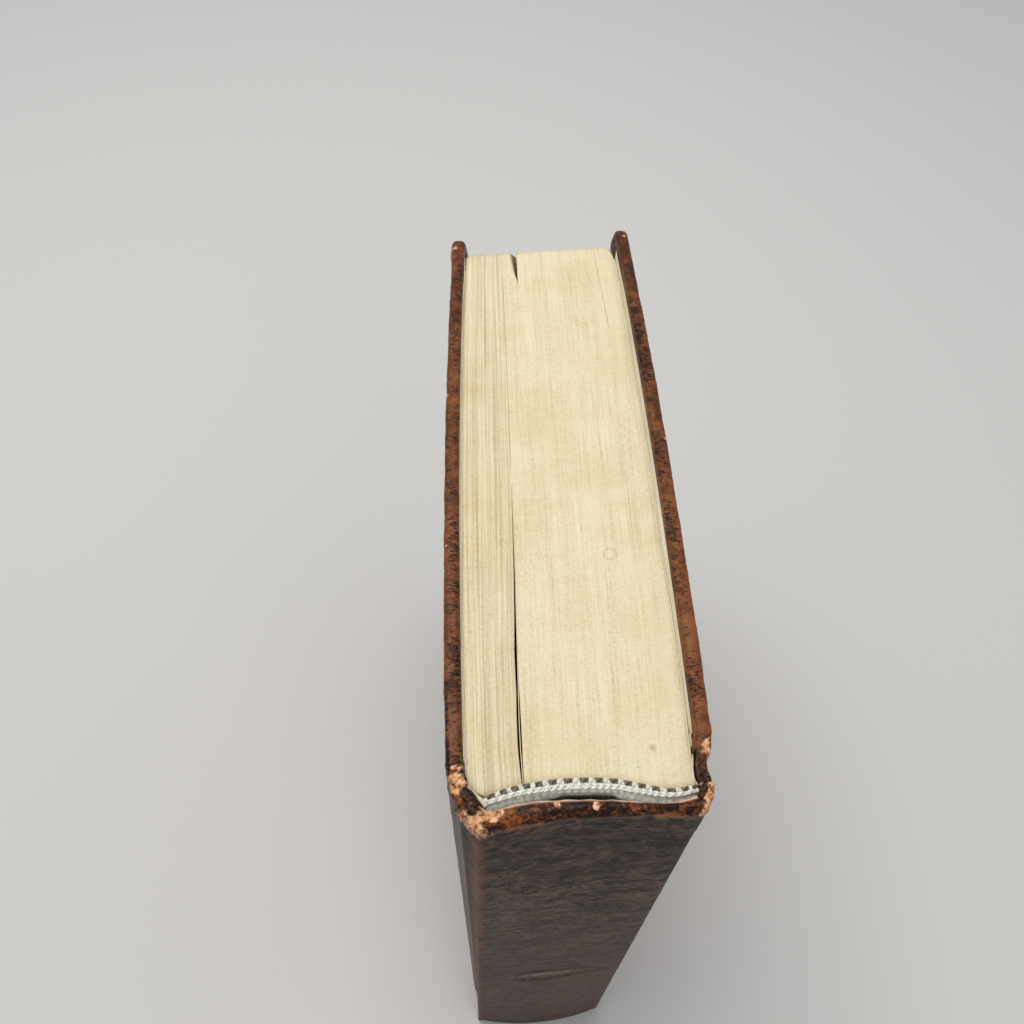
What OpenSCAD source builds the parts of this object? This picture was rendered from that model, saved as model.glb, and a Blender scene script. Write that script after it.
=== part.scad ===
// Thick case-bound book in leather, standing on its tail with its covers shut.
// X runs through the thickness from the back cover to the front cover, Y from the spine to the
// fore-edge and Z from tail to head. The origin is under the middle of the book.

/* [Whole book] */
// Height from tail to head
book_h = 235; // [180:1:300]
// Thickness over both covers, measured at their ends
book_t = 59.6; // [52:0.1:75]
// Depth of a cover from joint to fore-edge
cover_d = 190; // [150:1:230]
// How far the front cover has slipped towards the fore-edge past the back cover
cock = 6.3; // [0:0.1:8]
// How far the tail of the back cover leans in under its head
lean = 5.3; // [0:0.1:6]

/* [Covers] */
// Thickness of a board
board_t = 2.8; // [2:0.1:3.5]
// Thickness of the leather on a cover
leather_t = 0.9; // [0.6:0.1:1.2]
// Thickness of the leather where it is pared and turned in over a board
pared_t = 0.3; // [0.2:0.05:0.5]
// Width of the leather turned in at head, tail and fore-edge
turn_in = 16; // [10:1:25]
// Outward bow of a cover at the middle of its depth
bow = 1.4; // [0.2:0.1:3]
// Thickness of the pasted half of an endpaper
paste_t = 0.15; // [0.1:0.05:0.3]
// Leather left showing round a pastedown
paste_reveal = 4; // [3:0.5:8]
// Width of a mull flap under a pastedown
flap_w = 25; // [15:1:35]
// How far a mull flap stays inside the turned-in leather at head and tail
flap_short = 4; // [1:1:10]

/* [Pages] */
// How far the pages stand in from the covers at head and tail
square = 3.5; // [2:0.1:6]
// How far the pages stand in from the covers at the fore-edge
fore_square = 5.6; // [3:0.1:9]
// Outward bow of the pages on the front cover's side
page_bow = 0.8; // [0.1:0.1:1.3]
// Wear across the thickness at the front corner of the fore-edge
worn_in = 1.3; // [0.5:0.1:3]
// Wear along the depth at the front corner of the fore-edge
worn_back = 11; // [5:1:20]
// Depth of the hollow of the back
back_hollow = 4.55; // [2:0.05:6]
// How far the back edge on the back cover's side stands behind the joints
back_out_l = 6.55; // [5:0.05:8]
// How far the back edge on the front cover's side stands behind the joints
back_out_r = 5.4; // [4:0.05:7]
// Width of the slanted shoulder on the back cover's side
shoulder_w = 4.15; // [1:0.05:6]
// Height of that shoulder
shoulder_h = 3.3; // [1:0.05:5]
// Thickness of the free half of an endpaper
fly_t = 0.2; // [0.1:0.05:0.3]

/* [Parting of the pages] */
// Distance of the crack from the middle of the thickness
crack_x = 13.2; // [5:0.1:18]
// Width of the crack at the head
crack_w = 0.9; // [0.3:0.1:2]
// Length of the crack towards the fore-edge
crack_l = 82; // [20:1:120]
// How much of the back still holds together behind the crack
crack_in = 0.8; // [0.4:0.1:2]
// Depth of the crack below the head
crack_deep = 70; // [10:1:150]
// Distance of the gap at the fore-edge from the middle of the thickness
gap_x = 9.1; // [5:0.1:18]
// Width of the gap at the fore-edge
gap_w = 1.9; // [0.5:0.1:3]
// Length of that gap
gap_l = 18; // [5:1:40]
// Depth of that gap below the head
gap_deep = 80; // [10:1:150]

/* [Back linings and bands] */
// Thickness of the mull, and of the tape of each band
mull_t = 0.3; // [0.2:0.05:0.5]
// Thickness of the paper lining over it
lining_t = 0.25; // [0.1:0.05:0.5]
// How far the lining stays below the ends of the back
lining_short = 2; // [1.5:0.5:6]
// Height of the tape of each band
tape_h = 12; // [6:1:20]
// Radius of the stitched bead of each band
bead_r = 1.2; // [0.8:0.1:1.3]
// How far the middle of a bead stands above the edge of the pages
bead_up = 0.3; // [0:0.1:0.8]

/* [Spine] */
// Thickness of the leather on the spine
spine_t = 0.7; // [0.5:0.1:0.9]
// Thickness of the card strip in the spine
card_t = 0.8; // [0.4:0.1:1.2]
// Distance of the spine's ridge in from the outside of the back cover
ridge_in = 6.9; // [3:0.1:9]
// How far the ridge stands behind the joints
ridge_out = 13.2; // [11.5:0.1:18]
// Distance of the spine's other corner in from the outside of the front cover
corner_in = 4.2; // [2:0.1:6]
// How far that corner stands behind the joints
corner_out = 10.1; // [9.5:0.1:14]
// Distance of the front shoulder in from the outside of the front cover
swell_in = 1.2; // [0.8:0.1:2.2]
// How far the front shoulder stands behind the joints
swell_out = 4.2; // [3:0.1:6]
// Outward bulge of the spine at the tail
bulge = 3; // [0.5:0.1:5]
// Height at which the bulge has died out
bulge_top = 84; // [40:1:160]
// Rounding of the spine's long edges
spine_round = 1.5; // [0.5:0.1:2.5]
// Height of the rolled headcap
cap_h = 3.2; // [2:0.1:3.4]
// How far behind the joints the headcap's inner edge comes at its middle
cap_out = 6.2; // [5.8:0.1:8]
// Radius of that inner edge
cap_r = 85; // [60:1:150]

/* [Joints] */
// Distance of the front groove in from the outside of its cover
groove_in_f = 2.3; // [1.8:0.05:3]
// Distance of the back groove in from the outside of its cover
groove_in_b = 1.7; // [1.2:0.05:3]
// Gap between the end of a cover and the leather of the spine
joint_gap = 1.1; // [0.8:0.05:1.5]
// Gap between a pastedown, which swings, and the flyleaf, which stays
swing_gap = 0.3; // [0.2:0.05:0.5]

/* [Hidden] */

leather_brown = "#6b3d24";
spine_brown = "#4a362c";
page_cream = "#e6dac0";
end_paper = "#e9e3d3";
board_grey = "#8f8a80";
mull_white = "#d9d4c4";
kraft = "#b39a72";
band_white = "#d8d5cc";

// Straight stretches in a bowed side, a rounded end, the hollow of the back, the bulge of the
// spine and a rounded corner
bow_n = 16;
end_n = 10;
back_n = 28;
bulge_n = 14;
round_n = 4;
// Slack that keeps two stacked pieces from sharing a surface
slack = 0.05;
// Extra reach of a cutting shape
reach = 30;

cover_t = leather_t + board_t + pared_t;
lean_a = asin(lean / book_h);

// Corners of the spine, with Y counted from the line of the joints
ridge = [-book_t / 2 + ridge_in, -ridge_out];
corner = [book_t / 2 - corner_in, -corner_out];
swell = [book_t / 2 - swell_in, -swell_out];
groove_f = [book_t / 2 - groove_in_f, cock / 2 - joint_gap];
groove_b = [-book_t / 2 + groove_in_b, -cock / 2 - joint_gap];

// The bulge is part of a wide cylinder that leans out of the flat face of the spine
face_mid = (ridge + corner) / 2;
face_a = atan2(corner[1] - ridge[1], corner[0] - ridge[0]);
bulge_half = norm(corner - ridge) / 2 - spine_round;
bulge_r = (bulge_half * bulge_half + bulge * bulge) / (2 * bulge);
bulge_a = asin(bulge_half / bulge_r);
bulge_c = face_mid + (bulge_r - bulge) * [-sin(face_a), cos(face_a)];
bulge_arc = arc(bulge_c, bulge_r, face_a - 90 - bulge_a, face_a - 90 + bulge_a, bulge_n);
spine_low = min([for (p = bulge_arc) p[1]]);

// The line of the joints lies where it puts the middle of the whole depth at Y zero
joint_y = -(cover_d + cock / 2 + spine_low) / 2;
near_f = joint_y + cock / 2;
near_b = joint_y - cock / 2;
low_y = joint_y + spine_low;

// Each cover is a strip of a wide circle
bow_r = cover_d * cover_d / (8 * bow) + bow / 2;
cover_c = [book_t / 2 + bow - bow_r, near_f + cover_d / 2];
inner_r = bow_r - cover_t;
mid_r = bow_r - cover_t / 2;
cover_a = asin((cover_d - cover_t) / 2 / mid_r);

// The free leaves lie inside the pastedowns, and the pages inside the free leaves
leaf_r = inner_r - paste_t - swing_gap;
page_r = leaf_r - fly_t - slack;
page_half = page_r - bow_r + book_t / 2;
back_l = [-page_half + shoulder_w, joint_y - back_out_l];
back_r = [page_half, joint_y - back_out_r];
back_half = norm(back_r - back_l) / 2;
back_rad = back_half * back_half / (2 * back_hollow) + back_hollow / 2;
back_out = [back_r[1] - back_l[1], back_l[0] - back_r[0]] / (2 * back_half);
back_c = (back_l + back_r) / 2 + back_out * (back_rad - back_hollow);
// The linings stay clear of the shoulder where the back cover leans in
lining_l = -page_half + lean + 1.3;
lining_r = page_half - 0.3;

function arc(c, r, a0, a1, n, skip = 0) =
  [for (i = [skip:n - skip]) let (a = a0 + (a1 - a0) * i / n) c + r * [cos(a), sin(a)]];

function unit(v) = v / norm(v);

// An outline, run through anticlockwise, taken in by a distance
function inset(pts, d) = let (n = len(pts)) [for (i = [0:n - 1]) let (
    a = unit(pts[i] - pts[(i + n - 1) % n]),
    b = unit(pts[(i + 1) % n] - pts[i]),
    both = [-a[1] - b[1], a[0] + b[0]])
  pts[i] + d * both / (1 + a * b)];

// The same kind of outline with its corners rounded
function rounded(pts, r) = let (n = len(pts)) [for (i = [0:n - 1]) let (
    v = pts[i],
    a = unit(pts[(i + n - 1) % n] - v),
    b = unit(pts[(i + 1) % n] - v),
    half = acos(a * b) / 2,
    c = v + unit(a + b) * r / sin(half),
    from = v + a * r / tan(half) - c)
  for (p = arc(c, r, atan2(from[1], from[0]), atan2(from[1], from[0]) + 180 - 2 * half, round_n)) p];

// Outline of a cover, taken in by one amount outside and at the ends, by another inside
function cover_outline(out, in) = let (t = cover_t - out - in, r = bow_r - out - t / 2)
  concat(
    arc(cover_c, bow_r - out, -cover_a, cover_a, bow_n),
    arc(cover_c + r * [cos(cover_a), sin(cover_a)], t / 2, cover_a, cover_a + 180, end_n, 1),
    arc(cover_c, inner_r + in, cover_a, -cover_a, bow_n),
    arc(cover_c + r * [cos(cover_a), -sin(cover_a)], t / 2, 180 - cover_a, 360 - cover_a, end_n, 1));

module slab(points, z0, z1) {
  translate([0, 0, z0])
    linear_extrude(z1 - z0) polygon(points);
}

// Everything between two heights
module layer(z0, z1) {
  translate([-book_t, -cover_d, z0])
    cube([2 * book_t, 2 * cover_d, z1 - z0]);
}

// Strip along a cover, between two radii and two distances from its end at the joint
module cover_strip(r0, r1, d0, d1, edge) {
  intersection() {
    slab(concat(arc(cover_c, r1, -cover_a, cover_a, bow_n), arc(cover_c, r0, cover_a, -cover_a, bow_n)),
      edge, book_h - edge);
    translate([0, near_f + d0, 0]) cube([book_t, d1 - d0, book_h]);
  }
}

// Turns a piece of the front cover into its partner on the leaning back cover
module as_back() {
  translate([-book_t / 2, 0, book_h]) rotate([0, -lean_a, 0]) translate([book_t / 2, 0, -book_h])
    mirror([1, 0, 0]) translate([0, -cock, 0]) children();
}

module cover_board() {
  slab(cover_outline(leather_t, pared_t), leather_t, book_h - leather_t);
}

// Space behind the turned-in margins, between the board and the inner face of the leather
module cover_recess(from_r) {
  cover_strip(from_r, inner_r + pared_t, 0, cover_d - turn_in, turn_in);
}

// The leather reaches a little under the tail, for a cover that leans and is then cut level
module cover_leather(under = 0) {
  mid = cover_c + mid_r * [cos(cover_a), -sin(cover_a)];
  along = [-sin(cover_a), -cos(cover_a)];
  across = [-cos(cover_a), sin(cover_a)];
  difference() {
    slab(cover_outline(0, 0), -under, book_h);
    cover_board();
    cover_recess(inner_r - cover_t);
    slab([mid - along, mid + cover_t * along, mid + cover_t * (along + across),
      mid + cover_t * across - along], turn_in, book_h - turn_in);
  }
}

module cover_flap() {
  cover_strip(inner_r, inner_r + pared_t, cover_t / 2 + 3 * slack, cover_t / 2 + flap_w,
    turn_in + flap_short);
}

module cover_pastedown() {
  cover_strip(inner_r - paste_t, inner_r, cover_t / 2 + 3 * slack, cover_d - paste_reveal,
    paste_reveal);
  difference() {
    cover_strip(inner_r - slack, inner_r + pared_t, cover_t / 2 + 3 * slack, cover_d - turn_in,
      turn_in);
    cover_flap();
  }
}

module cover_flyleaf() {
  cover_strip(leaf_r - fly_t, leaf_r, cover_t / 2 + 3 * slack, cover_d - fore_square, square + slack);
}

// Fore-edge of the pages at a place across the thickness
function fore_y(x) = joint_y + cover_d - fore_square + cock * x / book_t;

// Back of the pages at a place across the thickness
function back_y(x) = back_c[1] + sqrt(back_rad * back_rad - (x - back_c[0]) * (x - back_c[0]));

// Outline of the pages, run long at the back and towards the back cover, where other cuts end it
function page_outline() = let (
    low = low_y + cover_t,
    top = fore_y(page_half) - worn_back,
    slope = shoulder_h / shoulder_w,
    wide = -book_t / 2 - cover_t)
  concat(
    [[back_l[0] + (back_l[1] - low) / slope, low], [page_half, low]],
    [for (i = [0:bow_n]) let (t = i / bow_n)
      [page_half + 4 * page_bow * t * (1 - t / (1 + worn_back / cover_d)),
        near_f + (top - near_f) * t]],
    [[page_half - worn_in, fore_y(page_half - worn_in)],
      [wide, fore_y(wide)],
      [wide, back_l[1] + (back_l[0] - wide) * slope]]);

// Strip round the hollow of the back, between two radii and two places across the thickness
function back_a(x) = 90 - asin((x - back_c[0]) / back_rad);
function back_arc(r) = arc(back_c, r, back_a(-page_half - shoulder_w), back_a(page_half + shoulder_w),
  back_n);
function back_ring(r0, r1) = let (a = back_arc(r0), b = back_arc(r1))
  concat(b, [for (i = [back_n:-1:0]) a[i]]);

module back_strip(r0, r1, x0, x1, z0, z1) {
  intersection() {
    slab(back_ring(r0, r1), z0, z1);
    translate([x0, low_y, z0]) cube([x1 - x0, cover_d, z1 - z0]);
  }
}

module text_block() {
  step = 2 * cover_a / bow_n;
  head = book_h - square;
  color(page_cream) difference() {
    intersection() {
      slab(page_outline(), square, head);
      as_back() slab(concat(
          arc(cover_c, page_r, -cover_a - step, cover_a + step, bow_n + 2),
          [[-book_t, cover_d], [-book_t, -cover_d]]),
        -reach, book_h + reach);
    }
    slab(concat(back_arc(back_rad), [[book_t, low_y - reach], [-book_t, low_y - reach]]),
      -reach, book_h + reach);
    slab([[-crack_x - crack_w / 2, back_y(-crack_x) + crack_in],
      [-crack_x + crack_w / 2, back_y(-crack_x) + crack_in],
      [-crack_x + crack_w / 2, back_y(-crack_x) + crack_l]], head - crack_deep, head + reach);
    slab([[-gap_x - gap_w / 2, joint_y + cover_d], [-gap_x + gap_w / 2, joint_y + cover_d],
      [-gap_x + gap_w / 3, fore_y(-gap_x) - gap_l]], head - gap_deep, head + reach);
  }
}

module front_flyleaf() {
  color(end_paper) cover_flyleaf();
}

module back_flyleaf() {
  color(end_paper) as_back() cover_flyleaf();
}

module mull() {
  end = square + tape_h + 1;
  color(mull_white) back_strip(back_rad - mull_t, back_rad, lining_l, lining_r, end, book_h - end);
}

module spine_lining() {
  end = square + lining_short;
  color(kraft) back_strip(back_rad - mull_t - lining_t, back_rad - mull_t, lining_l, lining_r,
    end, book_h - end);
}

// Tape glued to the back at the head, with the stitched bead standing at the edge of the pages
module band(left) {
  a0 = back_a(lining_r - bead_r);
  a1 = back_a(left + bead_r);
  back_strip(back_rad - mull_t, back_rad, left, lining_r, book_h - square - tape_h, book_h - square);
  translate([back_c[0], back_c[1], book_h - square + bead_up]) rotate([0, 0, a0])
    rotate_extrude(angle = a1 - a0, $fn = 180)
      translate([back_rad - bead_r - slack, 0]) circle(bead_r, $fn = 24);
}

module headband() {
  color(band_white) band(back_l[0] + 0.7);
}

module tailband() {
  color(band_white) translate([0, 0, book_h]) mirror([0, 0, 1]) band(lining_l);
}

// Plan of the spine, run on past the joints in the direction of each flank
spine_pts = [
  groove_f + reach * unit(groove_f - swell),
  [-book_t / 2 - reach, reach],
  groove_b + reach * unit(groove_b - ridge),
  ridge,
  corner,
  swell];

// The spine's outer form, taken in by a thickness
module spine_form(in) {
  intersection() {
    translate([0, joint_y, 0]) union() {
      slab(in > 0 ? inset(spine_pts, in) : rounded(spine_pts, spine_round), -reach, book_h + reach);
      translate([face_mid[0], face_mid[1], bulge_top])
        rotate([0, 0, face_a]) rotate([-atan(bulge / bulge_top), 0, 0])
          slab(concat(
              arc([0, bulge_r], bulge_r - in, -90 - bulge_a, -90 + bulge_a, bulge_n),
              [[bulge_half - in, cover_t + 2 * bulge], [in - bulge_half, cover_t + 2 * bulge]]),
            -bulge_top - reach, reach);
    }
    translate([-book_t / 2 + groove_in_b + in, 0, book_h]) rotate([0, -lean_a, 0])
      translate([0, -cover_d, -2 * book_h]) cube([2 * book_t, 2 * cover_d, 3 * book_h]);
  }
}

// The card fills the space between the leather of the spine and its turned-in ends
module card_form() {
  intersection() {
    difference() {
      spine_form(spine_t);
      translate([0, card_t, 0]) spine_form(spine_t);
    }
    translate([ridge[0] + spine_round, low_y, cap_h])
      cube([corner[0] - ridge[0] - 2 * spine_round, -spine_low - swell_out, book_h - 2 * cap_h]);
  }
}

// Solid roll of leather at head and tail
module cap_form() {
  intersection() {
    translate([(ridge[0] + corner[0]) / 2, joint_y - cap_out - cap_r, -1])
      cylinder(h = book_h + 2, r = cap_r, $fn = 120);
    union() {
      layer(-2, cap_h);
      layer(book_h - cap_h, book_h + 2);
    }
  }
}

module spine_stiffener() {
  color(board_grey) card_form();
}

module spine_leather() {
  color(spine_brown) difference() {
    intersection() {
      spine_form(0);
      layer(0, book_h);
    }
    translate([-book_t, near_b - joint_gap, -reach])
      cube([book_t, cover_d, book_h + 2 * reach]);
    translate([0, near_f - joint_gap, -reach])
      cube([book_t, cover_d, book_h + 2 * reach]);
    intersection() {
      spine_form(spine_t);
      layer(turn_in, book_h - turn_in);
    }
    difference() {
      intersection() {
        spine_form(2 * spine_t);
        translate([0, card_t, 0]) spine_form(2 * spine_t);
      }
      cap_form();
    }
    card_form();
  }
}

module front_board() {
  color(board_grey) cover_board();
}

module front_leather() {
  color(leather_brown) cover_leather();
}

module front_mull_flap() {
  color(mull_white) cover_flap();
}

module front_pastedown() {
  color(end_paper) cover_pastedown();
}

module back_board() {
  color(board_grey) as_back() cover_board();
}

module back_leather() {
  color(leather_brown) intersection() {
    as_back() cover_leather(1);
    layer(0, book_h);
  }
}

module back_mull_flap() {
  color(mull_white) as_back() cover_flap();
}

module back_pastedown() {
  color(end_paper) as_back() cover_pastedown();
}

text_block();
front_flyleaf();
back_flyleaf();
mull();
spine_lining();
headband();
tailband();
spine_stiffener();
spine_leather();
front_board();
front_leather();
front_mull_flap();
front_pastedown();
back_board();
back_leather();
back_mull_flap();
back_pastedown();
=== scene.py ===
# %% [markdown]
# A thick old hardcover bible stands on its tail. It is bound in brown calf that has darkened and rubbed with
# age. This lesson dresses its plain CAD solids: the pages, the stitched band at the head, the two covers,
# and the spine with its rolled headcap. The frame comes first, because each piece is built to it.

# %% Load the frame
import math

import bmesh
import bpy
import numpy as np
from mathutils import Matrix, Vector, noise


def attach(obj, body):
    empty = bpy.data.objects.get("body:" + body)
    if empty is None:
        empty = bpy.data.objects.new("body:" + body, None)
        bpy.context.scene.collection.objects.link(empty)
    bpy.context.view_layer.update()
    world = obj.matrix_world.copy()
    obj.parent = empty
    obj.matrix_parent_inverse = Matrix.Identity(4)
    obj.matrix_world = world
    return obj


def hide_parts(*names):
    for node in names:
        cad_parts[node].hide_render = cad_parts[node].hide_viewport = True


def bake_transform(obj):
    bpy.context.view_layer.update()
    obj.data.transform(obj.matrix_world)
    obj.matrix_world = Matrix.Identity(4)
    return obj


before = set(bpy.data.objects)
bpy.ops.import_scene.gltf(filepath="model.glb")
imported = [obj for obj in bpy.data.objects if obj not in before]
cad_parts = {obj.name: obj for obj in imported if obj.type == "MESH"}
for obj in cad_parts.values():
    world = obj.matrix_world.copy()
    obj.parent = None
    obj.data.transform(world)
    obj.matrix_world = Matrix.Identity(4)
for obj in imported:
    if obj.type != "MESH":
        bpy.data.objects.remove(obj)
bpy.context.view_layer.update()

scene = bpy.context.scene

# %% [markdown]
# A binder works in millimetres from the line of the joints, where the covers hinge. So all shapes below
# are worked out in millimetres from that line, and one function at the end turns them to metres in the
# frame of the whole part. The values are those that the solids were drawn with.

# %% Sizes of the book
# NEAR is where the front cover starts, LEAN how far the back cover stands in at the tail, and COCK how far
# the front cover has slipped forward. BOW is the arc of the front cover, BACK that of the pages' round back
MM = 0.001
JOINT_Y = -89.1659
BOOK_H = 235.0
HALF_T = 29.8
COVER_D = 190.0
COVER_T = 4.0
NEAR = 3.15
LEAN = 5.3
COCK = 6.3
HEAD = 231.5
TAIL = 3.5
BOW_R = 3223.914
BOW_X = HALF_T + 1.4 - BOW_R
BOW_Y = NEAR + COVER_D / 2
BACK_X, BACK_Y, BACK_R = 3.474, -61.974, 60.57
RIDGE = (-22.9, -13.2)
CORNER = (25.6, -10.1)
LEAN_ANGLE = math.asin(LEAN / BOOK_H)


def lean_in(z):
    """How far the leaning back cover stands in, at a height."""
    return LEAN * (BOOK_H - z) / BOOK_H


def leaned(x, y, z):
    """A point of the front cover's twin, mirrored, slipped back and leaned as the back cover is."""
    dx, dz = HALF_T - x, z - BOOK_H
    s, c = math.sin(LEAN_ANGLE), math.cos(LEAN_ANGLE)
    return (dx * c - dz * s - HALF_T, y - COCK, BOOK_H + dx * s + dz * c)


def smooth(t):
    """Runs from 0 to 1 without a kink."""
    t = min(1.0, max(0.0, t))
    return t * t * (3 - 2 * t)


def ear_at(z):
    """From 0 to 1 over 13 mm just below the head, where the leather of the joints swells."""
    return smooth((z - 221) / 13)


def ease(t):
    """The same as smooth, for a whole array."""
    t = np.clip(t, 0.0, 1.0)
    return t * t * (3 - 2 * t)


def wave(x, y, z=0.0):
    """Smooth noise from about -1 to 1, always the same at the same place."""
    return noise.noise(Vector((x, y, z)))


def along(points, t):
    """A smooth line through points, with t from 0 at the first to 1 at the last."""
    last = len(points) - 1
    s = min(max(t, 0.0), 1.0) * last
    i = min(int(s), last - 1)
    f = s - i
    p0, p1, p2, p3 = (points[min(max(k, 0), last)] for k in (i - 1, i, i + 1, i + 2))
    return tuple(
        0.5 * (2 * b + (c - a) * f + (2 * a - 5 * b + 4 * c - d) * f * f
               + (3 * b - a - 3 * c + d) * f * f * f)
        for a, b, c, d in zip(p0, p1, p2, p3))


# %% [markdown]
# A finished mesh goes through one function. It scales the bmesh to metres, moves it to the frame,
# points its faces outwards, and makes an object that sits at the origin with its place in its mesh.

# %% Helpers for pieces
def to_object(bm, name, material, flip=True):
    bmesh.ops.scale(bm, vec=(MM, MM, MM), verts=bm.verts)
    bmesh.ops.translate(bm, vec=(0, JOINT_Y * MM, 0), verts=bm.verts)
    if flip:
        bmesh.ops.recalc_face_normals(bm, faces=bm.faces)
    mesh = bpy.data.meshes.new(name)
    bm.to_mesh(mesh)
    bm.free()
    mesh.shade_smooth()
    mesh.materials.append(material)
    piece = bpy.data.objects.new(name, mesh)
    scene.collection.objects.link(piece)
    print(name, len(mesh.polygons), "faces")
    return piece


def flat_grid(columns, rows, size=0.5):
    """A flat grid in a new bmesh, from -size to size both ways."""
    bm = bmesh.new()
    bmesh.ops.create_grid(bm, x_segments=columns, y_segments=rows, size=size)
    return bm


def turn_out(bm, towards):
    """Turns all faces over if the outermost one in a direction looks the wrong way."""
    outer = max(bm.faces, key=lambda f: f.calc_center_median().dot(towards))
    if outer.normal.dot(towards) < 0:
        bmesh.ops.reverse_faces(bm, faces=bm.faces)
    bm.normal_update()


def push(moves):
    """Moves each vertex of the leather, but never below the table or over the head."""
    for v, move in moves:
        v.co += move
        v.co.z = min(max(v.co.z, 0.0), BOOK_H + 0.1)


def add_skin(piece, thickness, group=None):
    """Gives a sheet its thickness, inwards from the side that shows."""
    solid = piece.modifiers.new("thickness", "SOLIDIFY")
    solid.thickness = thickness * MM
    solid.offset = -1
    solid.use_even_offset = False
    if group:
        solid.vertex_group = group
        solid.thickness_vertex_group = 0.3
    return solid


# %% [markdown]
# Colours are picked as sRGB hex values, as on a screen, and one function turns them to the linear values
# that a shader works in. A second small function adds a node with its settings and its inputs, each a
# value or a link, and it is all that the materials below need.

# %% Helpers for materials
def hexed(code):
    """A colour in linear values, from its sRGB hex value."""
    out = []
    for i in (1, 3, 5):
        c = int(code[i:i + 2], 16) / 255
        out.append(c / 12.92 if c <= 0.04045 else ((c + 0.055) / 1.055) ** 2.4)
    return (*out, 1.0)


# Settings that many nodes share
COLOURS = {"data_type": "RGBA"}
TIMES_PLUS = {"operation": "MULTIPLY_ADD"}


def add(tree, kind, settings=None, stops=None, **inputs):
    """Adds a node. Inputs are named, or numbered as in_0; stops are the places and values of a ramp."""
    made = tree.nodes.new("ShaderNode" + kind)
    for key, value in (settings or {}).items():
        setattr(made, key, value)
    if stops:
        ramp = made.color_ramp.elements
        while len(ramp) < len(stops):
            ramp.new(0.5)
        for element, (place, value) in zip(ramp, stops):
            element.position = place
            element.color = hexed(value) if isinstance(value, str) else (value, value, value, 1)
    for key, value in inputs.items():
        socket = made.inputs[int(key[3:]) if key.startswith("in_") else key.replace("_", " ")]
        if isinstance(value, bpy.types.NodeSocket):
            tree.links.new(value, socket)
        else:
            socket.default_value = value
    return made


def new_material(name, **shader):
    """A material with its shader, whose constant values are set on the shader's own sockets."""
    made = bpy.data.materials.new(name)
    made.use_nodes = True
    tree = made.node_tree
    bsdf = tree.nodes["Principled BSDF"]
    for key, value in shader.items():
        bsdf.inputs[key.replace("_", " ")].default_value = value
    return made, tree, bsdf


# %% [markdown]
# The edge of the pages is what the eye meets first. It is thin book paper, cut by a guillotine and
# yellowed, and it isn't one surface but the ends of some eleven hundred leaves. So the colour runs in
# fine streaks from spine to fore-edge, and a UV map made with the mesh gives the material the place
# of each leaf. The streaks are from 0.3 mm wide, because single leaves are too fine to show.

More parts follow.
